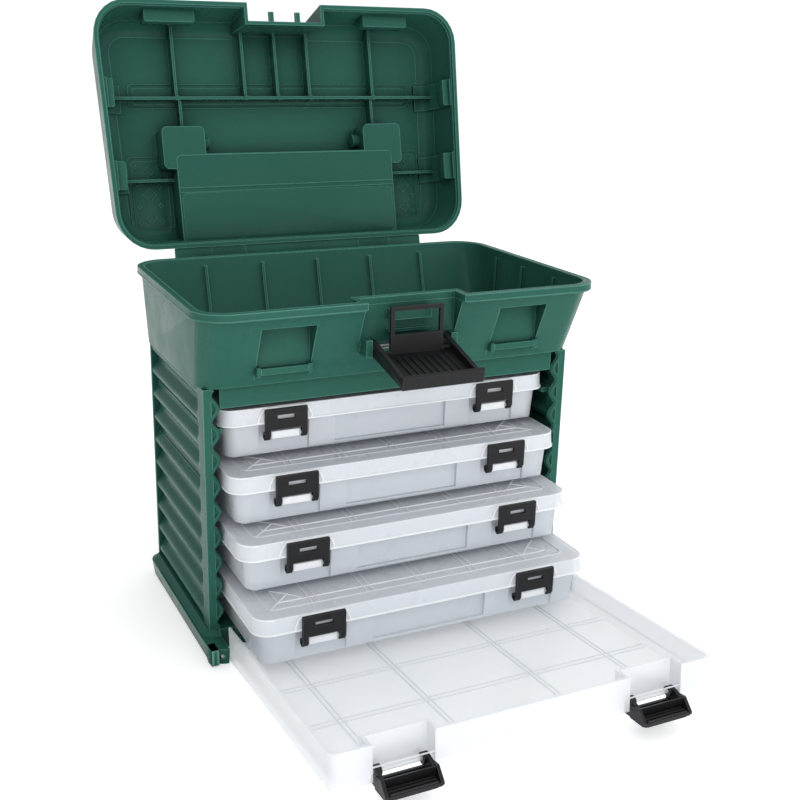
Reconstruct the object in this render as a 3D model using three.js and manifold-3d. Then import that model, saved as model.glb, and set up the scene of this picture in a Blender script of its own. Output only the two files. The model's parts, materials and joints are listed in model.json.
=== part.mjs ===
// Fishing tackle box with a lift-up lid, a clear front door and four clear organiser cases.
// Millimetres. X across, -Y to the front, +Z up. The origin is the middle of the foot's underside.
// Each moving piece stands as it does with the box open: lid up, door down, cases part way out.
import * as THREE from "three";
import { ConvexGeometry } from "three/addons/geometries/ConvexGeometry.js";
import { mergeVertices } from "three/addons/utils/BufferGeometryUtils.js";
import Module from "manifold-3d";

const wasm = await Module();
wasm.setup();
const GAP = 0.35; // air between pieces that touch
const RAD = Math.PI / 180;

// ---- Overall sizes -------------------------------------------------------
const footHalf = 134.8;
const footFront = -85;
const footBack = 69.5;
const footEdge = 11;
const footTop = 14;
const cabinetHalf = 128.8;
const cabinetFront = -63.3;
const cabinetBack = 64;
const wallTop = 174.8;
const waveMid = 125.8;
const waveRise = 2.2;
const waveCount = 9.5;
const wallThick = 2.2;
const trayBottom = 175.2;
const trayTop = 226.2;
const rimHalf = 138; // at the front; the tray and the lid are a little narrower at the back
const rimHalfBack = 134.4;
const rimFront = -90;
const rimBack = 83.5;
const lidHeight = 40;
const lidOpen = 102.9; // degrees from shut
const lidAxis = { y: 93.5, z: 220 };
const handleAxis = { y: 5.5, z: 256 };
const leverAxis = { y: -80.5, z: 196 };
const leverDip = 12; // degrees below level when pulled open
const linkAlong = 9; // from the lever's pivot to the link's pivot
const doorAxis = { y: -81, z: 6 };
const doorRise = 4.5; // degrees above level when open
const doorHalf = 121.8;
const doorReach = 167.5;
const doorLatchX = 80.5;
const caseHalf = 117.5;
const caseDepth = 119;
const caseHeight = 32;
const caseSplit = 21.3;
const casePitch = 37.2;
const caseBottom = 14.4;
const caseShut = -59.3; // front face of a case pushed right in
const caseOut = [63.5, 37.5, 19, 0]; // bottom to top: how far each one stands out
const caseLatchX = 75;
const caseLatchHalf = 14;
const caseLatchPivot = 13; // above the case's bottom

// ---- Solids --------------------------------------------------------------
function solid(geometry) {
  const bare = new THREE.BufferGeometry();
  const source = geometry.index ? geometry.toNonIndexed() : geometry;
  bare.setAttribute("position", source.getAttribute("position"));
  const merged = mergeVertices(bare, 1e-4);
  return new wasm.Manifold(
    new wasm.Mesh({
      numProp: 3,
      vertProperties: merged.attributes.position.array,
      triVerts: new Uint32Array(merged.index.array),
    }),
  );
}

function block(x0, x1, y0, y1, z0, z1) {
  const g = new THREE.BoxGeometry(x1 - x0, y1 - y0, z1 - z0);
  g.translate((x0 + x1) / 2, (y0 + y1) / 2, (z0 + z1) / 2);
  return solid(g);
}

// The same block on both sides of the middle.
function pair(x0, x1, y0, y1, z0, z1) {
  return block(x0, x1, y0, y1, z0, z1).add(block(-x1, -x0, y0, y1, z0, z1));
}

// A round bar along X.
function rod(radius, x0, x1, y, z, sides = 20) {
  const g = new THREE.CylinderGeometry(radius, radius, x1 - x0, sides);
  g.rotateZ(Math.PI / 2);
  g.translate((x0 + x1) / 2, y, z);
  return solid(g);
}

// Points of a rectangle with rounded corners, narrowed or widened towards the back.
function rounded(half, y0, y1, radius, z, backHalf = half, steps = 7) {
  const points = [];
  const corners = [
    [half - radius, y1 - radius, 0],
    [radius - half, y1 - radius, 90],
    [radius - half, y0 + radius, 180],
    [half - radius, y0 + radius, 270],
  ];
  for (const [cx, cy, start] of corners) {
    for (let i = 0; i <= steps; i++) {
      const a = (start + (90 * i) / steps) * RAD;
      const y = cy + radius * Math.sin(a);
      const narrow = 1 + ((backHalf / half - 1) * (y - y0)) / (y1 - y0);
      points.push(new THREE.Vector3(narrow * (cx + radius * Math.cos(a)), y, z));
    }
  }
  return points;
}

// The block between a lower and an upper outline.
function between(lower, upper) {
  return solid(new ConvexGeometry([...lower, ...upper]));
}

// A side view, drawn as [y, z] points, carried along X.
function sideView(points, x0, x1) {
  const shape = new THREE.Shape(points.map(([y, z]) => new THREE.Vector2(y, z)));
  const g = new THREE.ExtrudeGeometry(shape, { depth: x1 - x0, bevelEnabled: false });
  const turn = new THREE.Matrix4().makeBasis(
    new THREE.Vector3(0, 1, 0),
    new THREE.Vector3(0, 0, 1),
    new THREE.Vector3(1, 0, 0),
  );
  g.applyMatrix4(turn);
  g.translate(x0, 0, 0);
  return solid(g);
}

// A front view, drawn as [x, z] points, carried along Y.
function frontView(points, y0, y1) {
  const shape = new THREE.Shape(points.map(([x, z]) => new THREE.Vector2(x, z)));
  const g = new THREE.ExtrudeGeometry(shape, { depth: y1 - y0, bevelEnabled: false });
  const turn = new THREE.Matrix4().makeBasis(
    new THREE.Vector3(1, 0, 0),
    new THREE.Vector3(0, 0, 1),
    new THREE.Vector3(0, -1, 0),
  );
  g.applyMatrix4(turn);
  g.translate(0, y1, 0);
  return solid(g);
}

// Turns a solid about an axis along X. Positive lifts what lies behind the axis.
function turned(body, axis, degrees) {
  return body
    .translate([0, -axis.y, -axis.z])
    .rotate([degrees, 0, 0])
    .translate([0, axis.y, axis.z]);
}

const box = new THREE.Group();
box.name = "tackle_box";

function place(name, body) {
  const m = body.getMesh();
  const g = new THREE.BufferGeometry();
  g.setAttribute("position", new THREE.BufferAttribute(m.vertProperties, 3));
  g.setIndex(new THREE.BufferAttribute(m.triVerts, 1));
  const mesh = new THREE.Mesh(g, new THREE.MeshStandardMaterial());
  mesh.name = name;
  box.add(mesh);
}

// ---- Foot ----------------------------------------------------------------
function foot() {
  const slab = between(
    rounded(footHalf - 1.5, footFront + 1.5, footBack - 1.5, 11, 0),
    rounded(footHalf, footFront, footBack, 12, footEdge),
  );
  const rise = between(
    rounded(footHalf - 1, cabinetFront - 4, footBack - 1, 11, footEdge - 0.5),
    rounded(cabinetHalf + 0.8, cabinetFront - 0.6, cabinetBack + 0.8, 4, footTop),
  );
  const hinge = rod(2.8, -130, 130, doorAxis.y, doorAxis.z);
  return slab
    .add(rise)
    .subtract(block(-113, 113, -90, -73, -1, 20))
    .subtract(pair(112, doorHalf + 0.6, -90, cabinetFront - 0.5, -1, 20))
    .subtract(hinge);
}

// ---- Cabinet walls -------------------------------------------------------
function waveAt(z) {
  const t = (z - footTop) / (wallTop - footTop);
  return waveMid + waveRise * Math.sin(2 * Math.PI * waveCount * t);
}

function sideWall(side) {
  const outer = [];
  const inner = [];
  const steps = Math.round(waveCount * 8);
  const z0 = footTop + GAP;
  for (let i = 0; i <= steps; i++) {
    const z = z0 + ((wallTop - z0) * i) / steps;
    outer.push([side * waveAt(z), z]);
    inner.unshift([side * (waveAt(z) - wallThick), z]);
  }
  const outline = side > 0 ? [...outer, ...inner] : [...outer, ...inner].reverse();
  const panel = frontView(outline, cabinetFront + 1.2, cabinetBack - 3.6);
  const low = Math.min(side * (waveMid - wallThick), side * cabinetHalf);
  const high = Math.max(side * (waveMid - wallThick), side * cabinetHalf);
  let wall = panel.add(block(low, high, cabinetFront, cabinetFront + 11, z0, wallTop));
  for (let i = 0; i < 4; i++) {
    const top = caseBottom + i * casePitch + caseSplit - GAP;
    const a = side * (caseHalf - 1.9);
    const b = side * (waveMid - 0.8);
    wall = wall.add(block(Math.min(a, b), Math.max(a, b), -57, 59, top - 3, top));
  }
  return wall;
}

function backWall() {
  const y0 = cabinetBack - 3.6 + GAP;
  let wall = block(-cabinetHalf, cabinetHalf, y0, cabinetBack - 1, footTop + GAP, wallTop);
  for (const x of [-80, 0, 80]) {
    wall = wall.add(block(x - 30, x + 30, y0, cabinetBack, 30, 160));
  }
  return wall;
}

// ---- Top tray ------------------------------------------------------------
function tray() {
  const lipLow = trayTop - 4.2;
  const skirt = between(
    rounded(131.5, -66, 67, 15, trayBottom),
    rounded(135.4, rimFront + 3, rimBack - 3, 20, lipLow + 0.5, 132),
  );
  const lip = between(
    rounded(rimHalf, rimFront, rimBack, 22, lipLow, rimHalfBack),
    rounded(rimHalf, rimFront, rimBack, 22, trayTop, rimHalfBack),
  );
  const hollow = between(
    rounded(129, -63, 64, 13, trayBottom + 2.8),
    rounded(133, rimFront + 5, rimBack - 5, 18, trayTop + 1, 129.6),
  );
  const whole = skirt.add(lip);
  let body = whole.subtract(hollow);
  // Stiffening ribs inside
  const ribs = [];
  for (const x of [-84, -42, 0, 42, 84]) ribs.push(block(x - 1, x + 1, 56, 83, 177, 221));
  for (const y of [-40, 0, 35]) ribs.push(pair(127.6, 137, y - 1, y + 1, 177, 221));
  const core = between(
    rounded(126.6, -60.6, 61.6, 11, trayBottom + 2),
    rounded(130.6, rimFront + 7.4, rimBack - 7.4, 16, trayTop + 2, 127.2),
  );
  for (const r of ribs) body = body.add(r.intersect(whole).subtract(core));
  // Catch windows for the door's latches
  for (const x of [-doorLatchX, doorLatchX]) {
    body = body.add(block(x - 20, x + 20, -92, -67.5, 176, 217).intersect(whole));
  }
  for (const x of [-doorLatchX, doorLatchX]) {
    body = body.subtract(block(x - 17.5, x + 17.5, -110, -70.5, 187.5, 214));
    body = body.subtract(block(x - 17.5, x + 17.5, -110, -67.5, 170, 183));
  }
  // Recess for the lid latch, where the rim steps back
  const step = rimFront + 14;
  body = body.add(block(-36, 36, -96, step + 2.5, 177, trayTop).intersect(whole));
  body = body.subtract(block(-33, 33, -110, step, 177, 230));
  const shelf = block(-14.5, 14.5, step - 5, step + 0.5, 212, 219);
  body = body.add(shelf.subtract(block(-12.5, 12.5, step - 3.2, step, 213.6, 220)));
  body = body.add(block(-14, 14, step - 2.6, step + 0.5, 204, 206));
  // Lugs that hold the lever
  body = body.add(pair(27.4, 31.5, leverAxis.y - 4, -66, 190.5, 201.5));
  body = body.subtract(rod(1.9, -29.8, 29.8, leverAxis.y, leverAxis.z));
  // Header under the tray, above the top case
  body = body.add(block(-118, 118, cabinetFront + 1.5, cabinetFront + 4, 161.5, trayBottom + 1));
  // Hinge knuckles at the back
  for (const x of [-80, 0, 80]) {
    const knuckle = rod(4.5, x - 8, x + 8, lidAxis.y, lidAxis.z);
    body = body.add(knuckle).add(block(x - 8, x + 8, 78.5, lidAxis.y, 216.5, 222.8));
  }
  return body.subtract(rod(2, -90, 90, lidAxis.y, lidAxis.z));
}

// ---- Lid, drawn shut and then turned open --------------------------------
function lid() {
  const z0 = trayTop + GAP;
  const z1 = z0 + lidHeight;
  const shell = between(
    rounded(141.5, rimFront - 1, rimBack - 1, 26, z0, 137),
    rounded(135.5, rimFront + 6, rimBack - 7, 24, z1, 131),
  );
  const hollow = between(
    rounded(138.7, rimFront + 1.8, rimBack - 3.8, 23, z0 - 1, 134.2),
    rounded(132.9, rimFront + 8.6, rimBack - 9.6, 21, z1 - 2.6, 128.4),
  );
  let body = shell.subtract(hollow);
  const inside = (b) => b.intersect(shell);
  // The sunk seat of the handle shows inside as a raised block with two ears
  body = body.add(inside(block(-86.4, 86.4, 14.1, 77.5, z1 - 22.6, z1)));
  body = body.add(inside(pair(63.6, 95.4, -5.9, 24.5, z1 - 22.6, z1)));
  body = body.subtract(block(-84, 84, 16.5, 73, z1 - 20, z1 + 5));
  body = body.subtract(pair(66, 93, -3.5, 22.5, z1 - 20, z1 + 5));
  body = body.subtract(rod(4.1, -70, 70, handleAxis.y, handleAxis.z));
  // Ribs
  body = body.add(inside(block(-135, 135, -28.5, -26.5, z1 - 14, z1 - 1)));
  for (const x of [-79, -26, 0, 26, 79]) {
    body = body.add(inside(block(x - 1, x + 1, -87, -27.5, z1 - 12, z1 - 1)));
  }
  body = body.add(pair(76, 78, -27.5, -5.5, z1 - 12, z1 - 1));
  body = body.add(inside(pair(86, 136, 30.5, 32.5, z1 - 12, z1 - 1)));
  // Notch for the latch, with two tabs the link hooks over
  body = body.add(inside(block(-31, 31, -96, rimFront + 14.5, z0, z1)));
  body = body.subtract(block(-28.5, 28.5, -110, rimFront + 12, z0 - 1, z1 + 5));
  body = body.add(pair(8.5, 12, rimFront + 5, rimFront + 12.5, z0 + 0.4, z0 + 3.2));
  // Hinge lugs reach back over the tray's rim
  for (const x of [-58, 58]) {
    body = body.add(block(x - 13, x + 13, rimBack - 3.4, lidAxis.y + 4, z0 + 0.8, z0 + 5));
    body = body.add(block(x - 13, x + 13, lidAxis.y - 4.2, lidAxis.y + 4.2, lidAxis.z, z0 + 5));
    body = body.add(rod(4.5, x - 13, x + 13, lidAxis.y, lidAxis.z));
  }
  body = body.subtract(rod(2, -90, 90, lidAxis.y, lidAxis.z));
  return turned(body, lidAxis, -lidOpen);
}

// A U of two arms and a grip, with a stub and a knob at each pivot.
function handle() {
  const z0 = handleAxis.z - 6;
  const z1 = handleAxis.z + 6;
  let body = pair(72, 82, handleAxis.y, 69.5, z0, z1);
  body = body.add(rod(6, 72, 82, handleAxis.y, handleAxis.z));
  body = body.add(rod(6, -82, -72, handleAxis.y, handleAxis.z));
  body = body.add(block(-82, 82, 57.5, 69.5, z0, z1));
  for (const s of [-1, 1]) {
    const a = s > 0 ? 59 : -74;
    body = body.add(rod(3.5, a, a + 15, handleAxis.y, handleAxis.z, 16));
    const b = s > 0 ? 58 : -63;
    body = body.add(rod(5, b, b + 5, handleAxis.y, handleAxis.z, 16));
  }
  return turned(body, lidAxis, -lidOpen);
}

// ---- Lid latch -----------------------------------------------------------
function lever() {
  const { y, z } = leverAxis;
  const cheek = [
    [y + 4.2, z - 1],
    [y + 2.5, z + 4],
    [y - 3, z + 4.4],
    [y - 44, z + 1],
    [y - 46, z - 5],
    [y - 1, z - 5],
  ];
  let body = sideView(cheek, 23.6, 26.4).add(sideView(cheek, -26.4, -23.6));
  body = body.add(block(-26.4, 26.4, y - 46, y - 6, z - 5, z - 3));
  body = body.add(block(-27.4, 27.4, y - 48, y - 45.6, z - 5, z + 3.4));
  body = body.subtract(rod(1.9, -30, 30, y, z));
  body = body.subtract(rod(1.5, -25, 25, y - linkAlong, z));
  return turned(body, leverAxis, leverDip);
}

function link() {
  const y = leverAxis.y - linkAlong * Math.cos(leverDip * RAD);
  const z = leverAxis.z - linkAlong * Math.sin(leverDip * RAD);
  const frame = block(-18, 18, y - 1.3, y + 1.3, z - 1, z + 28.4);
  const window_ = block(-15.5, 15.5, y - 3, y + 3, z + 11, z + 25.8);
  return frame.subtract(window_).add(rod(1.2, -24.6, 24.6, y, z, 12));
}

// ---- Front door, drawn level and then tilted -----------------------------
function door() {
  const { y, z } = doorAxis;
  const front = y - doorReach;
  const shell = between(
    rounded(doorHalf, front, y + 3, 5, z - 4.5),
    rounded(doorHalf, front, y + 3, 5, z + 16.7),
  );
  const hollow = between(
    rounded(doorHalf - 2, front + 2, y + 1, 4, z - 2.3),
    rounded(doorHalf - 2, front + 2, y + 1, 4, z + 20),
  );
  let body = shell.subtract(hollow);
  body = body.subtract(block(-doorHalf + 2, doorHalf - 2, y - 1, y + 9, z + 3.6, z + 20));
  body = body.subtract(pair(doorHalf - 2.5, doorHalf + 1, y + 1, y + 9, z + 5, z + 20));
  for (const x of [-doorLatchX, doorLatchX]) {
    body = body.add(block(x - 20, x + 20, front, front + 12, z - 4.5, z + 16.7));
    body = body.subtract(block(x - 18, x + 18, front - 5, front + 10, z - 6, z + 20));
    body = body.add(rod(1.4, x - 19, x + 19, front + 4.5, z - 1, 12));
  }
  body = body.add(rod(2.3, doorHalf - 1.5, doorHalf + 5.5, y, z, 16));
  body = body.add(rod(2.3, -doorHalf - 5.5, 1.5 - doorHalf, y, z, 16));
  return turned(body, doorAxis, -doorRise);
}

function doorLatch(x) {
  // Its pivot stands at the bottom of the door's pocket
  const tilt = doorRise * RAD;
  const arm = doorReach - 4.5;
  const y = doorAxis.y - arm * Math.cos(tilt) - Math.sin(tilt);
  const z = doorAxis.z + arm * Math.sin(tilt) - Math.cos(tilt);
  const at = ([dy, dz]) => [y + dy, z + dz];
  const ear = [[2.6, -7.6], [3, 0], [1, 3], [-4, 2.4], [-9, 1], [-9, -6]].map(at);
  const cheek = [[-4.5, -7.6], [-4.5, 0.6], [-11, 1.8], [-17.5, -4.6], [-17.5, -6.2], [-16, -6.8]].map(at);
  const grip = [[2.8, -8.4], [2.8, -6.4], [-17.5, -4.8], [-17.5, -6.8]].map(at);
  const wall = [[-11.2, 1.6], [-9.8, 1.2], [-7.4, -6.4], [-9, -6.4]].map(at);
  let body = sideView(grip, x - 16, x + 16).add(sideView(wall, x - 17, x + 17));
  for (const s of [-1, 1]) {
    body = body.add(sideView(ear, x + s * 15 - 1, x + s * 15 + 1));
    body = body.add(sideView(cheek, x + s * 16 - 1, x + s * 16 + 1));
    body = body.add(rod(3.2, x + s * 14 - 2, x + s * 14 + 2, y, z));
  }
  return body.subtract(rod(1.8, x - 20, x + 20, y, z));
}

// ---- Organiser cases -----------------------------------------------------
function caseBase(front, z) {
  const back = front + caseDepth;
  const shell = between(
    rounded(caseHalf - 5.5, front + 3.5, back - 3.5, 10, z),
    rounded(caseHalf - 3.5, front + 2.2, back - 2.2, 10, z + 29.8),
  );
  const hollow = between(
    rounded(caseHalf - 7.1, front + 8.4, back - 5.2, 7, z + 1.6),
    rounded(caseHalf - 5.1, front + 7.2, back - 3.8, 7, z + 32),
  );
  let body = shell.subtract(hollow);
  // The front steps back behind each latch and along the middle
  body = body.subtract(block(-40, 40, front - 2, front + 5.4, z + 3, z + caseSplit - 1));
  for (const x of [-caseLatchX, caseLatchX]) {
    body = body.subtract(block(x - 17, x + 17, front - 2, front + 5.4, z - 1, z + caseSplit));
    const bar = z + caseLatchPivot;
    body = body.add(block(x - 10, x + 10, front - 0.4, front + 6, bar - 1.8, bar + 2.6));
    body = body.add(rod(1.1, x - 12.5, x + 12.5, front + 0.6, bar, 12));
  }
  // The bottom edge is broken so that the rising door clears it
  const edge = [
    [front + 2, z - 1],
    [front + 6, z - 1],
    [front + 2, z + 3],
  ];
  return body.subtract(sideView(edge, -caseHalf, caseHalf));
}

function caseLid(front, z) {
  const back = front + caseDepth;
  const shell = between(
    rounded(caseHalf, front, back, 11, z + caseSplit),
    rounded(caseHalf - 0.6, front + 0.6, back - 0.6, 11, z + caseHeight),
  );
  const hollow = between(
    rounded(caseHalf - 1.7, front + 1.7, back - 1.7, 10, z + caseSplit - 1),
    rounded(caseHalf - 2.2, front + 2.2, back - 2.2, 10, z + caseHeight - 1.7),
  );
  const well = between(
    rounded(caseHalf - 12, front + 12, back - 12, 5, z + caseHeight - 0.7),
    rounded(caseHalf - 12, front + 12, back - 12, 5, z + caseHeight + 2),
  );
  return shell.subtract(hollow).subtract(well);
}

function caseDivider(front, z, x) {
  return block(x - 0.7, x + 0.7, front + 9.5, front + 113, z + 2, z + 29);
}

function caseLatch(front, z, x) {
  const y0 = front - 2.9;
  const y1 = front - 0.45;
  const pivot = { y: front + 0.6, z: z + caseLatchPivot };
  const half = caseLatchHalf;
  let body = block(x - half, x + half, y0, y1, z + 17.5, z + 31);
  body = body.subtract(block(x - 6, x + 6, y0 - 1, y1 + 1, z + 23.8, z + 26.8));
  for (const a of [x - half, x + half - 3.6]) {
    body = body.add(block(a, a + 3.6, y0, y1, pivot.z, z + 18));
    body = body.add(rod(2.8, a, a + 3.6, pivot.y, pivot.z, 16));
  }
  return body.subtract(rod(1.4, x - 16, x + 16, pivot.y, pivot.z, 12));
}

// ---- The box -------------------------------------------------------------
place("base_foot", foot());
place("side_wall_left", sideWall(-1));
place("side_wall_right", sideWall(1));
place("back_wall", backWall());
place("top_tray", tray());
place("lid", lid());
place("lid_hinge_rod", rod(1.6, -87, 87, lidAxis.y, lidAxis.z, 16));
place("handle", handle());
place("latch_lever", lever());
place("latch_link", link());
place("latch_pivot_pin", rod(1.5, -29.4, 29.4, leverAxis.y, leverAxis.z, 16));
place("front_door", door());
place("door_latch_left", doorLatch(-doorLatchX));
place("door_latch_right", doorLatch(doorLatchX));
for (let i = 0; i < 4; i++) {
  const z = caseBottom + i * casePitch;
  const front = caseShut - caseOut[i];
  const name = "case_" + (4 - i);
  place(name + "_base", caseBase(front, z));
  place(name + "_lid", caseLid(front, z));
  for (let d = 0; d < 5; d++) {
    place(name + "_divider_" + (d + 1), caseDivider(front, z, (d - 2) * 37.2));
  }
  place(name + "_latch_left", caseLatch(front, z, -caseLatchX));
  place(name + "_latch_right", caseLatch(front, z, caseLatchX));
}

export default box;
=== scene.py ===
# Fishing tackle box: green cabinet, lift-up lid, clear front door and four clear organiser cases.
# Metres. X across, -Y to the front, +Z up. Every piece is drawn where it stands with the box open.
import bpy
import bmesh
import json
import math
import numpy as np
from mathutils import Matrix


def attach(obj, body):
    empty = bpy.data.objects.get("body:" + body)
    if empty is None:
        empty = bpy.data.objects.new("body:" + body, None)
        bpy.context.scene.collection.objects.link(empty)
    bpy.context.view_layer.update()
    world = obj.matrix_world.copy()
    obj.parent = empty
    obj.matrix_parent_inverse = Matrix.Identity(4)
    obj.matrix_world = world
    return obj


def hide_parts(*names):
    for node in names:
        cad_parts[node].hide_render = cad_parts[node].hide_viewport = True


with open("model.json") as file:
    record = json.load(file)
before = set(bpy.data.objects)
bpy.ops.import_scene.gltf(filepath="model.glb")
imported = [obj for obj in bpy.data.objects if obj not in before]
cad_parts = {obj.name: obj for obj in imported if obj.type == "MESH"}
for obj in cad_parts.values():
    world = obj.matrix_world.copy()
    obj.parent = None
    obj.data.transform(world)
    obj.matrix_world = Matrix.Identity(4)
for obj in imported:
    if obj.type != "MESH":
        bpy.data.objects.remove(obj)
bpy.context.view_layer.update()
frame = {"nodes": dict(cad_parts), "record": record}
mm = 0.001
bodyOf = {}
for bodyName, bodyNodes in frame["record"]["behaviour"]["bodies"].items():
    for nodeName in bodyNodes:
        bodyOf[nodeName] = bodyName
slotOf = {part["node"]: part["material_slot"] for part in frame["record"]["subparts"]}
print("frame loaded:", len(bodyOf), "nodes")

camera = {"azimuth": -26.25, "elevation": 17.83, "roll": 1.45, "distance": 0.85591,
          "target": (0.0465, 0.02581, 0.12143), "lens": 52.06}
# each lamp: where it stands, what it looks at, its width and height, its power
light = {"backdrop": 1.05, "ambient": 0.94, "darkSide": 0.3, "floorGlow": 0.42,
         "lamps": {"key": ((-0.9, -1.3, 1.3), (0, 0, 0.2), (0.8, 0.8), 5.6),
                   "fill": ((1.3, -1.0, 0.8), (0, 0, 0.15), (0.9, 0.7), 1.2),
                   "low": ((0.05, -1.35, 0.22), (0.02, -0.1, 0.03), (1.1, 0.3), 2.6),
                   "top": ((0.1, 0.2, 1.5), (0, 0.05, 0.2), (0.8, 0.5), 1.6)}}


def placeCamera():
    # the camera looks at the target from the given azimuth and elevation, then rolls about its own axis
    az, el, roll = (math.radians(camera[k]) for k in ("azimuth", "elevation", "roll"))
    back = np.array([math.sin(az) * math.cos(el), -math.cos(az) * math.cos(el), math.sin(el)])
    side = np.cross([0, 0, 1], back)
    side /= np.linalg.norm(side)
    up = np.cross(back, side)
    side, up = math.cos(roll) * side + math.sin(roll) * up, math.cos(roll) * up - math.sin(roll) * side
    data = bpy.data.cameras.new("camera")
    data.lens = camera["lens"]
    data.sensor_width = 36
    data.clip_start = 0.01
    ob = bpy.data.objects.new("camera", data)
    at = np.array(camera["target"]) + back * camera["distance"]
    m = np.eye(4)
    m[:3, 0], m[:3, 1], m[:3, 2], m[:3, 3] = side, up, back, at
    ob.matrix_world = Matrix(m.tolist())
    bpy.context.collection.objects.link(ob)
    bpy.context.scene.camera = ob


def softBox(name, at, aim, size, power):
    # an area light that looks from one point towards another
    data = bpy.data.lights.new(name, "AREA")
    data.shape = "RECTANGLE"
    data.size, data.size_y = size
    data.energy = power
    ob = bpy.data.objects.new(name, data)
    z = np.array(at, float) - np.array(aim, float)
    z /= np.linalg.norm(z)
    x = np.cross([0, 0, 1], z)
    x /= np.linalg.norm(x)
    m = np.eye(4)
    m[:3, 0], m[:3, 1], m[:3, 2], m[:3, 3] = x, np.cross(z, x), z, at
    ob.matrix_world = Matrix(m.tolist())
    bpy.context.collection.objects.link(ob)


def studio():
    world = bpy.data.worlds.new("studio")
    world.use_nodes = True
    sky = world.node_tree.nodes["Background"]
    sky.inputs["Color"].default_value = (1, 1, 1, 1)
    # a white backdrop; the light it gives falls off towards the left, as if a dark flag stood there
    tree = world.node_tree
    toward = tree.nodes.new("ShaderNodeSeparateXYZ")
    tree.links.new(tree.nodes.new("ShaderNodeTexCoord").outputs["Generated"], toward.inputs["Vector"])
    shade = ramp(tree, toward.outputs["X"], -0.75, 0.15, light["darkSide"], light["ambient"])
    seen = tree.nodes.new("ShaderNodeMix")
    seen.inputs["B"].default_value = light["backdrop"]
    tree.links.new(tree.nodes.new("ShaderNodeLightPath").outputs["Is Camera Ray"], seen.inputs["Factor"])
    tree.links.new(shade, seen.inputs["A"])
    tree.links.new(seen.outputs["Result"], sky.inputs["Strength"])
    bpy.context.scene.world = world
    bpy.context.scene.view_settings.view_transform = "Standard"
    for name, (at, aim, size, power) in light["lamps"].items():
        softBox(name, at, aim, size, power)


def nodesOf(name):
    mat = bpy.data.materials.new(name)
    mat.use_nodes = True
    tree = mat.node_tree
    return mat, tree, tree.nodes["Principled BSDF"]


def noise(tree, where, scale, detail=4.0, rough=0.55):
    node = tree.nodes.new("ShaderNodeTexNoise")
    node.inputs["Scale"].default_value = scale
    node.inputs["Detail"].default_value = detail
    node.inputs["Roughness"].default_value = rough
    tree.links.new(where, node.inputs["Vector"])
    return node.outputs["Fac"]


def ramp(tree, value, low, high, lowOut, highOut):
    node = tree.nodes.new("ShaderNodeMapRange")
    for key, number in (("From Min", low), ("From Max", high), ("To Min", lowOut), ("To Max", highOut)):
        node.inputs[key].default_value = number
    tree.links.new(value, node.inputs["Value"])
    return node.outputs["Result"]


def tint(tree, factor, first, second):
    node = tree.nodes.new("ShaderNodeMix")
    node.data_type = "RGBA"
    node.inputs["A"].default_value = (*first, 1)
    node.inputs["B"].default_value = (*second, 1)
    tree.links.new(factor, node.inputs["Factor"])
    return node.outputs["Result"]


placeCamera()
studio()
print("camera and light set")


def edgeMask(tree, radius):
    # 1 where a rounded-off normal leans away from the true one, which is along the sharp edges
    soft = tree.nodes.new("ShaderNodeBevel")
    soft.samples = 4
    soft.inputs["Radius"].default_value = radius
    dot = tree.nodes.new("ShaderNodeVectorMath")
    dot.operation = "DOT_PRODUCT"
    tree.links.new(soft.outputs["Normal"], dot.inputs[0])
    tree.links.new(tree.nodes.new("ShaderNodeNewGeometry").outputs["Normal"], dot.inputs[1])
    return ramp(tree, dot.outputs["Value"], 0.99, 0.86, 0.0, 1.0)


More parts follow.
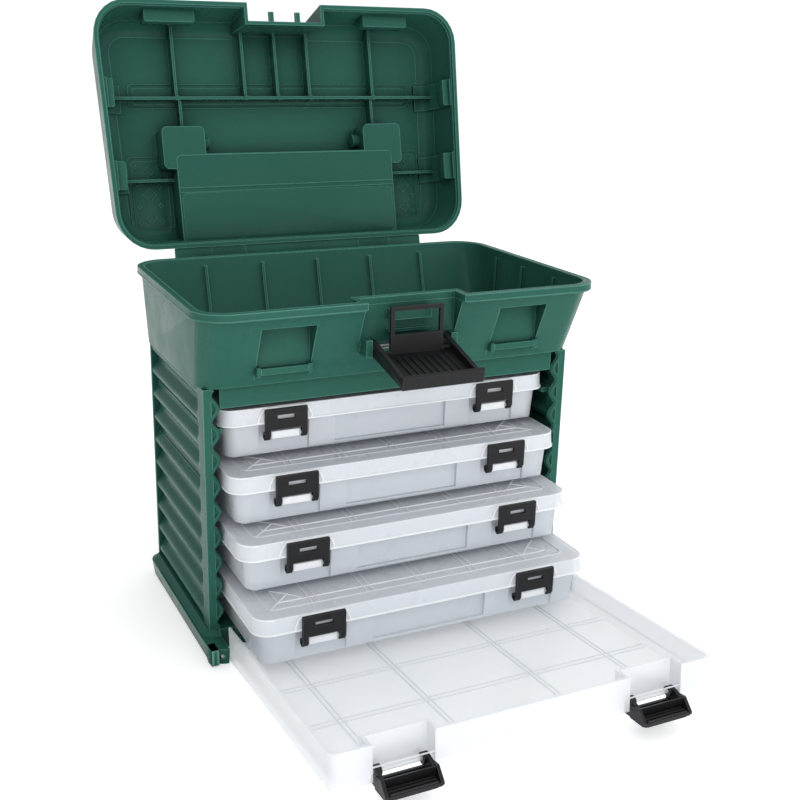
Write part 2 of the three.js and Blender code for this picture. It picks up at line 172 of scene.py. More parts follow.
def mouldedPlastic(name, look):
    # colour drifts softly over the moulding, long faint scuffs lie across it,
    # and a fine grain gives the sheen its tooth
    mat, tree, shader = nodesOf(name)
    place = tree.nodes.new("ShaderNodeTexCoord").outputs["Object"]
    drift = noise(tree, place, look["driftScale"], 3.0)
    stretch = tree.nodes.new("ShaderNodeMapping")
    stretch.inputs["Scale"].default_value = look["scuffStretch"]
    stretch.inputs["Rotation"].default_value = look["scuffTurn"]
    tree.links.new(place, stretch.inputs["Vector"])
    scuff = noise(tree, stretch.outputs["Vector"], look["scuffScale"], 6.0, 0.7)
    scuffMask = ramp(tree, scuff, 0.62, 0.74, 0.0, look["scuffShare"])
    base = tint(tree, drift, look["dark"], look["light"])
    worn = tree.nodes.new("ShaderNodeMix")
    worn.data_type = "RGBA"
    worn.inputs["B"].default_value = (*look["worn"], 1)
    tree.links.new(base, worn.inputs["A"])
    tree.links.new(scuffMask, worn.inputs["Factor"])
    colour = worn.outputs["Result"]
    if "edge" in look:
        # painted highlight: the base colour is lightened along the sharp edges, standing in for the sheen
        # that catches them
        edgeHighlight = tree.nodes.new("ShaderNodeMix")
        edgeHighlight.data_type = "RGBA"
        edgeHighlight.inputs["B"].default_value = (*look["edge"], 1)
        tree.links.new(colour, edgeHighlight.inputs["A"])
        share = ramp(tree, edgeMask(tree, look["edgeRadius"]), 0.0, 1.0, 0.0, look["edgeShare"])
        tree.links.new(share, edgeHighlight.inputs["Factor"])
        colour = edgeHighlight.outputs["Result"]
    if "creviceShade" in look:
        # painted shade: deep corners are darkened in the base colour by an occlusion mask, standing in for
        # the little light that reaches them
        shelter = tree.nodes.new("ShaderNodeAmbientOcclusion")
        shelter.samples = 6
        shelter.inputs["Distance"].default_value = look["creviceShadeReach"]
        deep = tree.nodes.new("ShaderNodeMix")
        deep.data_type = "RGBA"
        deep.blend_type = "MULTIPLY"
        deep.inputs["Factor"].default_value = 1.0
        tone = ramp(tree, shelter.outputs["AO"], 0.25, 0.9, look["creviceShade"], 1.0)
        tree.links.new(colour, deep.inputs["A"])
        tree.links.new(tone, deep.inputs["B"])
        colour = deep.outputs["Result"]
    tree.links.new(colour, shader.inputs["Base Color"])
    low, high = look["rough"]
    patchy = noise(tree, place, look["roughScale"], 5.0)
    tree.links.new(ramp(tree, patchy, 0.3, 0.7, low, high), shader.inputs["Roughness"])
    grain = noise(tree, place, look["grainScale"], 2.0)
    wave = noise(tree, place, look["sinkScale"], 1.0)
    add = tree.nodes.new("ShaderNodeMath")
    add.operation = "MULTIPLY_ADD"
    add.inputs[1].default_value = look["sinkShare"]
    tree.links.new(wave, add.inputs[0])
    tree.links.new(grain, add.inputs[2])
    bump = tree.nodes.new("ShaderNodeBump")
    bump.inputs["Strength"].default_value = look["grainStrength"]
    bump.inputs["Distance"].default_value = look["grainDepth"]
    tree.links.new(add.outputs["Value"], bump.inputs["Height"])
    tree.links.new(bump.outputs["Normal"], shader.inputs["Normal"])
    shader.inputs["IOR"].default_value = look["ior"]
    shader.inputs["Specular IOR Level"].default_value = look["specular"]
    if "alpha" in look:
        shader.inputs["Alpha"].default_value = look["alpha"]
    if "metal" in look:
        shader.inputs["Metallic"].default_value = look["metal"]
    return mat


plain = {"driftScale": 9.0, "scuffStretch": (1.0, 9.0, 1.0), "scuffScale": 60.0, "scuffShare": 0.1,
         "roughScale": 40.0, "grainScale": 1400.0, "sinkScale": 70.0, "sinkShare": 2.0,
         "grainStrength": 0.25, "grainDepth": 0.0002, "specular": 0.5, "ior": 1.49,
         "scuffTurn": (0.5, 0.3, 0.7), "creviceShadeReach": 0.02}
# in the looks below, an edge colour is a painted highlight laid along the sharp edges
looks = {
    "greenPlastic": {**plain, "dark": (0.023, 0.106, 0.081), "light": (0.032, 0.128, 0.1),
                     "worn": (0.06, 0.19, 0.15), "rough": (0.22, 0.36), "specular": 0.08,
                     # deep corners of the green get painted shade, down to 0.45 of their colour
                     "grainStrength": 0.1, "creviceShade": 0.45,
                     "edge": (0.15, 0.4, 0.33), "edgeRadius": 0.001, "edgeShare": 0.8},
    "blackPlastic": {**plain, "dark": (0.01, 0.01, 0.011), "light": (0.016, 0.016, 0.017),
                     "worn": (0.05, 0.05, 0.052), "rough": (0.34, 0.5), "specular": 0.22, "scuffShare": 0.3,
                     "edge": (0.09, 0.09, 0.095), "edgeRadius": 0.0006, "edgeShare": 0.6},
    "caseBody": {**plain, "dark": (0.8, 0.84, 0.9), "light": (0.86, 0.9, 0.95),
                 "worn": (0.94, 0.96, 0.99), "rough": (0.25, 0.38), "alpha": 0.58, "grainStrength": 0.1},
    "caseLid": {**plain, "dark": (0.85, 0.89, 0.95), "light": (0.91, 0.94, 0.98),
                "worn": (0.97, 0.98, 1.0), "rough": (0.22, 0.36), "alpha": 0.66, "grainStrength": 0.1},
    "doorPlastic": {**plain, "dark": (0.9, 0.93, 0.97), "light": (0.95, 0.97, 0.99),
                    "worn": (0.98, 0.99, 1.0), "rough": (0.12, 0.22), "alpha": 0.5, "grainStrength": 0.08},
    "caseEdge": {**plain, "dark": (0.9, 0.93, 0.97), "light": (0.95, 0.97, 0.99),
                 "worn": (0.98, 0.99, 1.0), "rough": (0.2, 0.32), "alpha": 0.9, "grainStrength": 0.08},
    "steelRod": {**plain, "dark": (0.42, 0.42, 0.43), "light": (0.55, 0.55, 0.56),
                 "worn": (0.7, 0.7, 0.7), "rough": (0.25, 0.4), "metal": 1.0},
}
materials = {name: mouldedPlastic(name, look) for name, look in looks.items()}
materialOf = {"green_plastic": "greenPlastic", "black_plastic": "blackPlastic", "clear_plastic": "caseBody",
              "door_plastic": "doorPlastic", "steel_rod": "steelRod"}
print("materials made:", len(materials))


def addPiece(name, points, faces, body, material, smooth=35):
    # points is an (n, 3) array in metres; faces is a list of index arrays, each (m, corners)
    data = bpy.data.meshes.new(name)
    corners = [f for block in faces for f in np.asarray(block).tolist()]
    data.from_pydata(np.asarray(points).tolist(), [], corners)
    data.materials.append(materials[material])
    work = bmesh.new()
    work.from_mesh(data)
    bmesh.ops.recalc_face_normals(work, faces=work.faces)
    work.to_mesh(data)
    work.free()
    ob = bpy.data.objects.new(name, data)
    bpy.context.collection.objects.link(ob)
    smoothFaces(ob, smooth)
    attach(ob, body)
    return ob


def smoothFaces(ob, degrees):
    data = ob.data
    data.polygons.foreach_set("use_smooth", np.ones(len(data.polygons), bool))
    data.set_sharp_from_angle(angle=math.radians(degrees))


def roundUprights(work, axis, degrees, corners, radius):
    # with the lid turned back to shut, the upright edges standing at these corners get a larger round
    flat = turnX(np.array([v.co[:] for v in work.verts]) / mm, axis, degrees)
    chosen = []
    for e in work.edges:
        a, b = flat[e.verts[0].index], flat[e.verts[1].index]
        if abs(a[2] - b[2]) > 4 and np.hypot(*(a[:2] - b[:2])) < 0.3:
            if any(abs(abs(a[0]) - x) < 0.25 and abs(a[1] - y) < 0.25 for x, y in corners):
                chosen.append(e)
    bmesh.ops.bevel(work, geom=chosen, offset=radius * mm, segments=5, profile=0.5, affect="EDGES",
                    clamp_overlap=True)
    return len(chosen)


def finishNode(node, edge, material=None, segments=2):
    # a merged copy of the solid whose edges are rounded as a mould leaves them
    name = node + "_finished"
    data = frame["nodes"][node].data.copy()
    data.name = name
    work = bmesh.new()
    work.from_mesh(data)
    bmesh.ops.remove_doubles(work, verts=work.verts, dist=2e-6)
    if node != "latch_lever":  # its flat underside keeps its triangles, which round cleanly
        bmesh.ops.dissolve_limit(work, angle_limit=math.radians(0.6), verts=work.verts, edges=work.edges)
    if node == "lid":
        work.verts.index_update()
        done = roundUprights(work, lid["axis"], -lid["open"], lid["corners"], lid["cornerRadius"])
        print("lid corners rounded:", done)
    work.to_mesh(data)
    work.free()
    data.materials.clear()
    data.materials.append(materials[material or materialOf[slotOf[node]]])
    ob = bpy.data.objects.new(name, data)
    bpy.context.collection.objects.link(ob)
    smoothFaces(ob, 32)
    rounding = ob.modifiers.new("rounding", "BEVEL")
    rounding.width = edge * mm
    rounding.segments = segments
    rounding.limit_method = "ANGLE"
    rounding.angle_limit = math.radians(32)
    rounding.harden_normals = True
    rounding.use_clamp_overlap = True
    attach(ob, bodyOf[node])
    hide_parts(node)
    return ob


def strips(starts, ends, normals, width, height, sink=0.3):
    # low ridges: a five-point rounded section carried from each start to its end, its foot sunk a little
    starts, ends, normals = (np.atleast_2d(np.asarray(a, float)) for a in (starts, ends, normals))
    along = ends - starts
    along /= np.linalg.norm(along, axis=1, keepdims=True)
    across = np.cross(normals, along)
    u = np.array([-0.5, -0.36, 0.0, 0.36, 0.5]) * width
    v = np.array([-sink, 0.82 * height, height, 0.82 * height, -sink])
    section = across[:, None, :] * u[None, :, None] + normals[:, None, :] * v[None, :, None]
    first = starts[:, None, :] + section
    last = ends[:, None, :] + section
    points = np.concatenate([first, last], axis=1).reshape(-1, 3)
    n = len(starts)
    base = (np.arange(n) * 10)[:, None, None]
    k = np.arange(5)
    side = np.stack([k, (k + 1) % 5, (k + 1) % 5 + 5, k + 5], axis=1)[None]
    quads = (side + base).reshape(-1, 4)
    caps = np.concatenate([(k[::-1])[None] + base[:, :, 0], (k + 5)[None] + base[:, :, 0]])
    return points, [quads, caps]


def sweep(path, section, normal, closed=True):
    # carries a closed section (across, up) along a path: up is the given normal, across is up x direction
    path = np.asarray(path, float)
    section = np.asarray(section, float)
    if closed:
        ahead, behind = np.roll(path, -1, 0), np.roll(path, 1, 0)
    else:
        ahead = np.vstack([path[1:], path[-1:]])
        behind = np.vstack([path[:1], path[:-1]])
    along = ahead - behind
    along /= np.linalg.norm(along, axis=1, keepdims=True)
    across = np.cross(normal, along)
    across /= np.linalg.norm(across, axis=1, keepdims=True)
    points = path[:, None] + across[:, None] * section[None, :, :1]
    points = points + np.asarray(normal)[None, None] * section[None, :, 1:]
    m, n = len(path), len(section)
    i = np.arange(m if closed else m - 1)[:, None]
    j = np.arange(n)[None]
    a, b = i * n + j, i * n + (j + 1) % n
    c, d = ((i + 1) % m) * n + (j + 1) % n, ((i + 1) % m) * n + j
    faces = [np.stack([a, b, c, d], -1).reshape(-1, 4)]
    if not closed:
        faces += [np.arange(n)[None, ::-1], (np.arange(n) + (m - 1) * n)[None]]
    return points.reshape(-1, 3), faces


def joinShapes(shapes):
    points, faces, start = [], [], 0
    for p, f in shapes:
        points.append(p)
        faces += [np.asarray(block) + start for block in f]
        start += len(p)
    return np.concatenate(points), faces


def turnX(points, axis, degrees):
    # turns points about an axis along X through (y, z); positive lifts what lies behind
    a = math.radians(degrees)
    p = np.array(points, float)
    y, z = p[..., 1] - axis[0], p[..., 2] - axis[1]
    p[..., 1] = axis[0] + y * math.cos(a) - z * math.sin(a)
    p[..., 2] = axis[1] + y * math.sin(a) + z * math.cos(a)
    return p


def roundedRing(half, y0, y1, radius, z, backHalf=None, steps=10):
    # rectangle with quarter-circle corners, its width changing in proportion from front to back
    backHalf = half if backHalf is None else backHalf
    t = np.radians(np.linspace(0, 90, steps + 1))
    corners = [(half - radius, y1 - radius, 0), (radius - half, y1 - radius, 90),
               (radius - half, y0 + radius, 180), (half - radius, y0 + radius, 270)]
    rows = []
    for cx, cy, start in corners:
        turn = t + math.radians(start)
        rows.append(np.stack([cx + radius * np.cos(turn), cy + radius * np.sin(turn)], 1))
    xy = np.concatenate(rows)
    narrow = 1 + (backHalf / half - 1) * (xy[:, 1] - y0) / (y1 - y0)
    return np.column_stack([xy[:, 0] * narrow, xy[:, 1], np.full(len(xy), z)])


# The lid in mm as it lies shut. corners is where the upright corners of the raised block inside it stand
lid = {"axis": (93.5, 220.0), "open": -102.9, "rim": 226.55, "top": 266.55, "roof": 263.95, "notch": 30.0,
       "corners": [(95.4, -5.9), (63.6, -5.9), (95.4, 24.5), (86.4, 77.5)], "cornerRadius": 4.0,
       "coveRadius": 9.0, "crease": 38.4, "bandHalf": 113.0, "bandY": (-39.0, -21.7),
       "strapY": ((-38.0, -17.6), (19.0, 39.8)), "strapProud": 1.6, "padX": (66.0, 103.0),
       "panelX": (90.5, 117.0), "panelY": (15.0, 67.0), "blockDepth": 22.6}

# Edge rounding of each finished solid, in mm
edges = {"base_foot": 1.2, "side_wall_left": 0.7, "side_wall_right": 0.7, "back_wall": 0.8, "top_tray": 0.7,
         "lid": 0.7, "handle": 2.2, "latch_lever": 0.5, "latch_link": 0.5, "front_door": 0.5,
         "door_latch_left": 0.4, "door_latch_right": 0.4, "lid_hinge_rod": 0.2, "latch_pivot_pin": 0.2}
for node, edge in edges.items():
    finishNode(node, edge)
for number in range(1, 5):
    finishNode(f"case_{number}_base", 0.6)
    finishNode(f"case_{number}_lid", 0.7, "caseLid")
    for d in range(1, 6):
        finishNode(f"case_{number}_divider_{d}", 0.2)
    for side in ("left", "right"):
        finishNode(f"case_{number}_latch_{side}", 0.5)
print("solids finished:", len(edges) + 36)


def rings(stack):
    # loft: each ring (n points) is joined to the next one, and the two end rings are closed
    stack = np.asarray(stack, float)
    m, n = stack.shape[:2]
    i, j = np.arange(m - 1)[:, None], np.arange(n)[None]
    a, b, c, d = i * n + j, i * n + (j + 1) % n, (i + 1) * n + (j + 1) % n, (i + 1) * n + j
    quads = np.stack([a, b, c, d], -1).reshape(-1, 4)
    return stack.reshape(-1, 3), [quads, np.arange(n)[None, ::-1], (np.arange(n) + (m - 1) * n)[None]]


def slab(x0, x1, y0, y1, z0, z1, radius, edge=0.6):
    # rounded block: rectangles with round corners, stacked up z, drawn in by edge at its foot and top
    hx, cx = (x1 - x0) / 2, (x0 + x1) / 2
    soft = 0.3 * edge
    steps = ((z0, edge), (z0 + soft, soft), (z0 + edge, 0), (z1 - edge, 0), (z1 - soft, soft), (z1, edge))
    stack = []
    for z, inset in steps:
        corner = max(radius - inset, 0.2)
        stack.append(roundedRing(hx - inset, y0 + inset, y1 - inset, corner, z, steps=4) + (cx, 0, 0))
    return rings(stack)


def bead(width, height, steps=8):
    # half-round section: width across the foot, height proud, foot sunk 0.3 mm
    t = np.radians(np.linspace(0, 180, steps + 1))
    arch = np.column_stack([np.cos(t) * width / 2, np.sin(t) * height])
    return np.vstack([arch, [-width / 2, -0.3], [width / 2, -0.3]])


def boxLine(x0, x1, y0, y1, radius, z, steps=5):
    # rectangle with round corners whose middle may stand anywhere
    return roundedRing((x1 - x0) / 2, y0, y1, radius, z, steps=steps) + ((x0 + x1) / 2, 0, 0)


up = np.array([0, 0, 1.0])
down = np.array([0, 0, -1.0])



def lidPiece(name, shapes, smooth=40):
    # drawn with the lid shut, then swung up to where it stands
    points, faces = joinShapes(shapes)
    points = turnX(points, lid["axis"], lid["open"]) * mm
    return addPiece(name, points, faces, "lid_body", "greenPlastic", smooth)


def lidLoop(half, y0, y1, radius, z, backHalf):
    # once round the lid from one side of the catch notch to the other
    ring = roundedRing(half, y0, y1, radius, z, backHalf, 12)
    return np.vstack([[lid["notch"], y0, z], ring[39:], ring[:39], [-lid["notch"], y0, z]])


def lidCove():
    # a quarter-circle fillet carried round the corner between the lid's roof and its walls
    r = lid["coveRadius"]
    t = np.radians(np.linspace(0, 90, 9))
    arc = np.column_stack([r - r * np.sin(t), r * np.cos(t) - r])
    arc[:, 0] += 0.15 * arc[:, 1] + 0.05
    section = np.vstack([arc, [-1.5 - 0.15 * r, -r], [-0.9, 0.6], [r, 0.6]])
    return sweep(lidLoop(132.9, -81.4, 73.9, 21, lid["roof"], 128.4), section, up, closed=False)


def lidStrap(y0, y1, side):
    # a raised band that climbs the side wall, turns over the cove and runs a little way over the roof
    rim, roof, out = lid["rim"], lid["roof"], lid["strapProud"]
    middle = 0.5 * (y0 + y1)
    narrow = 1 + (134.2 / 138.7 - 1) * (middle + 88.2) / 167.9
    t = np.radians(np.linspace(0, 90, 9))
    r = lid["coveRadius"]
    foot = np.array([[138.2 * narrow, rim + 2.0], [135.0 * narrow, roof - 12.0]])
    bend = np.column_stack([(133.2 * narrow - r) + (r - out) * np.cos(t), roof - r + (r - out) * np.sin(t)])
    line = np.vstack([foot - [out, 0], bend, [[119.0, roof - out]]])
    line = np.column_stack([side * line[:, 0], np.full(len(line), middle), line[:, 1]])
    half = (y1 - y0) / 2
    section = np.array([[-half, -2.2], [-half, 0.1], [-half + 0.5, 0.6],
                        [half - 0.5, 0.6], [half, 0.1], [half, -2.2]])
    along = np.gradient(line, axis=0)
    along /= np.linalg.norm(along, axis=1, keepdims=True)
    across = np.array([0, 1.0, 0])
    inward = np.cross(along, across) * side
    rows = line[:, None] + across * section[None, :, :1] + inward[:, None] * section[None, :, 1:]
    return rings(rows)


def lidInside():
    roof, rim = lid["roof"], lid["rim"]
    lidPiece("lid_cove", [lidCove()], 50)
    lip = lidLoop(138.1, -87.7, 79.2, 23, rim + 3.2, 133.7)
    lipSection = [[-1.4, -1.6], [0.5, -1.2], [1.1, 0], [0.5, 1.4], [-1.4, 1.8]]
    lidPiece("lid_rim_step", [sweep(lip, lipSection, up, closed=False)], 50)
    straps = [lidStrap(y0, y1, side) for y0, y1 in lid["strapY"] for side in (-1, 1)]
    lidPiece("lid_straps", straps, 40)
    ends = []
    for (y0, y1), wide in zip(lid["strapY"], (137.0, 133.6)):
        for x0, x1 in ((-wide - 0.6, -wide + 7.5), (wide - 7.5, wide + 0.6)):
            ends.append(slab(x0, x1, y0 + 0.2, y1 - 0.2, rim + 4.6, rim + 15.0, 1.6, 0.8))
    lidPiece("lid_strap_pads", ends)
    x0, x1 = lid["padX"]
    pads = [slab(a, b, -87.4, -77.5, rim + 7.5, rim + 20.0, 1.8, 0.9) for a, b in ((-x1, -x0), (x0, x1))]
    lidPiece("lid_front_pads", pads)
    y0, y1 = lid["bandY"]
    half = lid["bandHalf"]
    bands = [sweep(boxLine(-half, half, y0, y1, 4, roof), bead(1.3, 0.8), down),
             slab(-half + 2.5, half - 2.5, y0 + 2.5, y1 - 2.5, roof - 0.5, roof + 0.8, 3, 0.3)]
    p0, p1 = lid["panelX"]
    q0, q1 = lid["panelY"]
    for a, b in ((-p1, -p0), (p0, p1)):
        bands.append(sweep(boxLine(a - 1.5, b + 1.5, q0 - 1.5, q1 + 1.5, 4, roof), bead(1.0, 0.7), down))
        bands.append(slab(a + 1, b - 1, q0 + 1, q1 - 1, roof - 0.5, roof + 0.8, 3.5, 0.3))
    lidPiece("lid_roof_bands", bands)
    diamonds = []
    for side in (-1, 1):
        cx = side * 0.5 * (p0 + p1)
        for dy, size in ((9.5, 4.2), (26.0, 5.2), (43.0, 4.2)):
            diamonds.append(diamond(cx, q0 + dy, roof - 0.5, size))
        for dx, dy in ((-8, 6), (8, 6), (-8, 20), (8, 20), (-8, 34), (8, 34), (-8, 46), (8, 46)):
            diamonds.append(diamond(cx + dx, q0 + dy, roof - 0.5, 1.6))
    lidPiece("lid_diamonds", diamonds, 30)
    face = lid["top"] - lid["blockDepth"]
    lidPiece("lid_block_crease", [
        strips([[-85.6, lid["crease"], face]], [[85.6, lid["crease"] - 0.8, face]], down, 1.1, 0.55),
        strips([[-85.2, lid["crease"] + 3.4, face]], [[85.4, lid["crease"] + 2.6, face]], down, 1.0, 0.7),
        slab(-84.8, 84.8, lid["crease"] + 3.6, 76.9, face - 0.55, face + 1.0, 4, 0.5),
        sweep(boxLine(-86.0, 86.0, 14.9, 77.2, 3, face), bead(0.9, 0.35), down)])
    lidPiece("lid_hinge_flange", [slab(-98, 98, 81.8, 91.6, 227.4, 229.6, 2.0, 0.5)])
    beads = []
    for x in (-79, -26, 0, 26, 79):
        beads.append(slab(x - 1.9, x + 1.9, -29.4, -25.8, lid["top"] - 14.7, lid["top"] - 2.0, 1.6, 0.6))
    lidPiece("lid_rib_beads", beads)
    knobs = []
    t = np.radians(np.arange(0, 360, 15))
    for side in (-1, 1):
        rows = []
        for out, radius in ((0, 4.6), (4.0, 4.6), (5.0, 4.1), (5.4, 3.0)):
            across = np.full(len(t), side * (63.8 - out))
            rows.append(np.column_stack([across, 5.5 + radius * np.cos(t), 256 + radius * np.sin(t)]))
        knobs.append(rings(rows))
    lidPiece("lid_handle_bosses", knobs)


def diamond(cx, cy, z, size):
    # a flat four-cornered ring: outer and inner squares turned 45 degrees, standing 0.5 mm proud
    turn = np.radians([0, 90, 180, 270])
    section = np.array([[-0.45, 0.3], [-0.3, -0.5], [0.3, -0.5], [0.45, 0.3]])
    rows = np.column_stack([cx + size * np.cos(turn), cy + size * np.sin(turn), np.full(4, z)])
    return sweep(rows, section, up)


lidInside()
print("lid's inside detailed")

wall = {"middle": 125.8, "rise": 2.2, "waves": 9.5, "foot": 14.35, "top": 174.8, "front": -52.0,
        "back": 60.4, "fade": 9.0, "skin": 1.1, "proud": 0.3}


def wallWave(z):
    # x = middle + rise * sin(2 pi * waves * share of the height)
    turns = wall["waves"] * (z - wall["foot"]) / (wall["top"] - wall["foot"])
    return wall["middle"] + wall["rise"] * np.sin(2 * math.pi * turns)


def corrugatedSkin(side):
    # the wave of the height carried back along y, its ridges easing level just before the corner post
    y = np.concatenate([np.linspace(wall["front"] - 1.0, wall["front"] + wall["fade"], 9),
                        np.linspace(wall["front"] + wall["fade"] + 6, wall["back"], 12)])
    z = np.linspace(wall["foot"], wall["top"], 191)
    ease = np.clip((y - wall["front"]) / wall["fade"], 0, 1)
    ease = ease * ease * (3 - 2 * ease)
    level = wall["middle"] + 2.3
    outer = level + (wallWave(z)[:, None] - level) * ease[None] + wall["proud"]
    outer = np.maximum(outer, wallWave(z)[:, None] + wall["proud"])
    inner = outer - wall["skin"]
    yy, zz = np.broadcast_to(y, outer.shape), np.broadcast_to(z[:, None], outer.shape)
    there = np.stack([side * outer, yy, zz], -1)
    here = np.stack([side * inner, yy, zz], -1)[:, ::-1]
    return rings(np.concatenate([there, here], 1))


def cabinetDetail():
    for side, word in ((-1, "left"), (1, "right")):
        points, faces = corrugatedSkin(side)
        addPiece(f"side_skin_{word}", points * mm, faces, "cabinet", "greenPlastic", 60)
        z = np.linspace(wall["foot"], wall["top"] - 0.5, 160)
        path = np.column_stack([side * (wallWave(z) - 3.6), np.full(len(z), -62.6), z])
        section = np.array([[-1.7, 1.0], [-1.2, -0.5], [-0.4, -0.9], [0.4, -0.9], [1.2, -0.5], [1.7, 1.0]])
        points, faces = sweep(path, section, np.array([0, 1.0, 0]), closed=False)
        addPiece(f"side_lip_{word}", points * mm, faces, "cabinet", "greenPlastic", 60)


def footCaps():
    # a rounded cheek closes each front corner of the foot over the door's hinge
    shapes = [slab(a, b, -85.0, -73.5, 0.6, 11.2, 5.6, 1.0) for a, b in ((-134.9, -128.4), (128.4, 134.9))]
    points, faces = joinShapes(shapes)
    addPiece("foot_corners", points * mm, faces, "cabinet", "greenPlastic", 40)


cabinetDetail()
footCaps()
print("cabinet walls detailed")

rim = {"half": 138.0, "backHalf": 134.4, "front": -90.0, "back": 83.5, "radius": 22.0, "top": 226.2,
       "notchHalf": 33.0, "notchBack": -76.0, "lipFoot": 221.9}


def rimPath(inset, z):
    # the tray's rim outline drawn in by inset, stepping back round the lid catch
    ring = roundedRing(rim["half"] - inset, rim["front"] + inset, rim["back"] - inset,
                       rim["radius"] - inset, z, rim["backHalf"] - inset, 10)
    n = rim["notchHalf"] + inset
    y0, y1 = rim["front"] + inset, rim["notchBack"] + inset
    notch = np.array([[-n - 0.8, y0, z], [-n, y0 + 0.8, z], [-n, y1 - 0.8, z], [-n + 0.8, y1, z],
                      [n - 0.8, y1, z], [n, y1 - 0.8, z], [n, y0 + 0.8, z], [n + 0.8, y0, z]])
    return np.vstack([ring[:33], notch, ring[33:]])


def trayDetail():
    # beads on top of the rim and under its lip, then a bar and two stops at each catch window
    top = rim["top"] - 0.1
    shapes = [sweep(rimPath(0.9, top), bead(1.4, 0.34), up),
              sweep(rimPath(4.2, top), bead(1.0, 0.34), up),
              sweep(rimPath(0.4, rim["lipFoot"]), bead(1.2, 0.8), down)]
    for x in (-80.5, 80.5):
        for dx in (-16.6, 16.6):
            shapes.append(slab(x + dx - 1.4, x + dx + 1.4, -75.0, -69.4, 182.4, 188.4, 1.0, 0.5))
        shapes.append(slab(x - 16, x + 16, -74.4, -69.4, 183.2, 187.6, 1.2, 0.9))
    points, faces = joinShapes(shapes)
    addPiece("tray_beads", points * mm, faces, "cabinet", "greenPlastic", 40)


trayDetail()
print("tray detailed")

lever = {"axis": (-80.5, 196.0), "open": 12.0, "ribs": 9, "ribSpan": 38.0}


def leverDetail():
    # ridges side by side along the lever's floor, and a rounded roll along its lip
    x = np.linspace(-lever["ribSpan"] / 2, lever["ribSpan"] / 2, lever["ribs"])
    y, z = lever["axis"]
    starts = np.column_stack([x, np.full(len(x), y - 44.0), np.full(len(x), z - 3.0)])
    ends = np.column_stack([x, np.full(len(x), y - 12.0), np.full(len(x), z - 3.0)])
    shapes = [strips(starts, ends, up, 2.3, 1.1)]
    t = np.radians(np.arange(0, 360, 20))
    for s in (-1, 1):
        shapes.append(sweep([[s * 25.0, y - 14, z + 3.3], [s * 25.0, y - 44, z + 0.9]],
                            np.column_stack([1.5 * np.cos(t), 0.6 * np.sin(t)]), up, closed=False))
    shapes.append(sweep([[-27.2, y - 46.9, z + 3.2], [27.2, y - 46.9, z + 3.2]],
                        np.column_stack([1.3 * np.cos(t), 0.9 * np.sin(t)]), up, closed=False))
    points, faces = joinShapes(shapes)
    points = turnX(points, lever["axis"], lever["open"]) * mm
    addPiece("lever_ridges", points, faces, "lever_body", "blackPlastic", 45)


leverDetail()
print("lever detailed")

case = {"half": 117.5, "depth": 119.0, "height": 32.0, "split": 21.3, "pitch": 37.2, "bottom": 14.4,
        "shut": -59.3,
        "out": {1: 0.0, 2: 19.0, 3: 37.5, 4: 63.5}, "inset": 12.0, "ribGap": 2.2, "latchX": 75.0}


def caseDetail(number):
    # frame round the sunk panel, paired ribs over the dividers, and a mitred corner at each end
    z = case["bottom"] + (4 - number) * case["pitch"]
    front = case["shut"] - case["out"][number]
    back = front + case["depth"]
    well = z + case["height"] - 0.7
    half = case["half"] - case["inset"]
    y0, y1 = front + case["inset"], back - case["inset"]
    shapes = [sweep(boxLine(-half, half, y0, y1, 5, well), bead(0.9, 0.9), up)]
    starts, ends = [], []

    def line(a, b):
        starts.append([*a, well])
        ends.append([*b, well])
    for x in (-74.4, -37.2, 0, 37.2, 74.4):
        for dx in (-case["ribGap"], case["ribGap"]):
            line((x + dx, y0 + 0.5), (x + dx, y1 - 0.5))
    for y in (y0 + 9, y1 - 9):
        line((-half + 9, y), (half - 9, y))
    for s in (-1, 1):
        line((s * (half - 9), y0 + 9), (s * (half - 9), y1 - 9))
        for y, step in ((y0, 1), (y1, -1)):
            line((s * (half - 1.2), y + 1.2 * step), (s * (half - 18), y + 18 * step))
            line((s * (half - 18), y + 18 * step), (s * (half - 9), y + 26 * step))
            line((s * (half - 18), y + 18 * step), (s * (half - 26), y + 9 * step))
    shapes.append(strips(starts, ends, up, 0.9, 0.6))
    body = f"case_{number}_body"
    points, faces = joinShapes(shapes)
    addPiece(f"case_{number}_lid_ribs", points * mm, faces, body, "caseEdge", 40)
    low = roundedRing(case["half"], front, back, 11, z + case["split"] + 0.6, steps=8)
    high = roundedRing(case["half"] - 0.9, front + 0.9, back - 0.9, 10.5, z + case["height"] - 0.3, steps=8)
    shapes = [sweep(low, [[-0.5, -0.55], [0.4, -0.55], [0.6, 0.2], [0.1, 0.6], [-0.4, 0.3]], up)]
    shapes.append(sweep(high, [[-0.35, -0.6], [0.5, -0.5], [0.7, 0.1], [0.1, 0.35], [-0.3, 0.1]], up))
    for x in (-case["latchX"], case["latchX"]):
        arch = np.array([[x - 18, z + 21.4], [x - 17.6, z + 24.5], [x - 15.8, z + 28.6], [x - 13, z + 31.0],
                         [x + 13, z + 31.0], [x + 15.8, z + 28.6], [x + 17.6, z + 24.5], [x + 18, z + 21.4]])
        path = np.column_stack([arch[:, 0], np.full(8, front + 0.1), arch[:, 1]])
        shapes.append(sweep(path, bead(1.3, 0.5), np.array([0, -1.0, 0]), closed=False))
    points, faces = joinShapes(shapes)
    addPiece(f"case_{number}_lid_edges", points * mm, faces, body, "caseEdge", 50)
    foot = []
    for x in (-case["latchX"], case["latchX"]):
        foot.append(slab(x - 9.5, x + 9.5, front - 0.6, front + 1.6, z + 10.9, z + 15.9, 1.0, 0.5))
    points, faces = joinShapes(foot)
    addPiece(f"case_{number}_latch_bars", points * mm, faces, body, "caseEdge", 40)


for number in range(1, 5):
    caseDetail(number)
print("cases detailed")

door = {"axis": (-81.0, 6.0), "open": -4.5, "reach": 167.5, "half": 121.8, "latchX": 80.5}


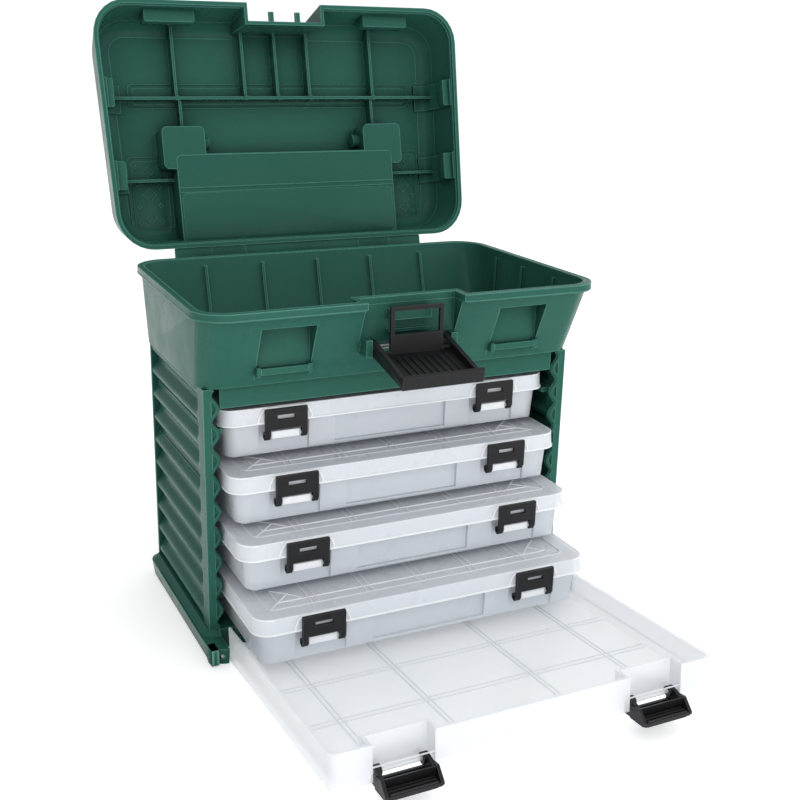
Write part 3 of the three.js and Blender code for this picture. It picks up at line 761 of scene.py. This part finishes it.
def doorDetail():
    # shallow ribs across and along the door's inner face
    y, z = door["axis"]
    floorZ = z - 2.3
    front = y - door["reach"]
    starts, ends = [], []
    for across in (y - 12, y - 58, y - 62, y - 104, y - 108, y - 146):
        starts.append([-door["half"] + 3, across, floorZ])
        ends.append([door["half"] - 3, across, floorZ])
    for x in (-92, -89, -37, -34, 34, 37, 89, 92):
        starts.append([x, front + 14, floorZ])
        ends.append([x, y - 4, floorZ])
    ridges = strips(starts, ends, up, 1.2, 0.4)
    rimRing = roundedRing(door["half"] - 1.0, front + 1.0, y + 0.5, 4, z + 3.4, steps=5)
    rimLine = sweep(rimRing, bead(0.8, 0.5), up)
    points, faces = joinShapes([ridges, rimLine])
    points = turnX(points, door["axis"], door["open"]) * mm
    addPiece("door_ribs", points, faces, "door_body", "doorPlastic", 40)


doorDetail()


def doorLatchDetail(x, word):
    # saw-tooth grip: small ridges side by side across the plate
    tilt = math.radians(-door["open"])
    arm = door["reach"] - 4.5
    y = door["axis"][0] - arm * math.cos(tilt) - math.sin(tilt)
    z = door["axis"][1] + arm * math.sin(tilt) - math.cos(tilt)
    k = np.linspace(0.14, 0.94, 7)
    cy, cz = y + 2.8 + k * (-17.5 - 2.8), z - 6.4 + k * (-4.8 + 6.4)
    low = np.column_stack([np.full(7, x - 13.6), cy, cz])
    high = np.column_stack([np.full(7, x + 13.6), cy, cz])
    top = strips(low, high, np.array([0, 0.08, 0.997]), 1.7, 1.1)
    under = strips(low - (0, 0, 2.0), high - (0, 0, 2.0), np.array([0, -0.08, -0.997]), 1.7, 0.9)
    points, faces = joinShapes([top, under])
    name, body = f"door_latch_grip_{word}", f"door_latch_{word}_body"
    addPiece(name, points * mm, faces, body, "blackPlastic", 30)


doorLatchDetail(-80.5, "left")
doorLatchDetail(80.5, "right")
print("door detailed")


def floor():
    # a plain pale sheet; its half width in metres
    size = 3.0
    data = bpy.data.meshes.new("floor")
    corners = [(-size, -size, 0), (size, -size, 0), (size, size, 0), (-size, size, 0)]
    data.from_pydata(corners, [], [(0, 1, 2, 3)])
    mat, tree, shader = nodesOf("paleFloor")
    place = tree.nodes.new("ShaderNodeTexCoord").outputs["Object"]
    pale = tint(tree, noise(tree, place, 3.0), (0.93, 0.93, 0.935), (0.96, 0.96, 0.96))
    tree.links.new(pale, shader.inputs["Base Color"])
    shader.inputs["Roughness"].default_value = 0.7
    shader.inputs["Emission Color"].default_value = (1, 1, 1, 1)
    shader.inputs["Emission Strength"].default_value = light["floorGlow"]
    data.materials.append(mat)
    ob = bpy.data.objects.new("floor", data)
    bpy.context.collection.objects.link(ob)


floor()
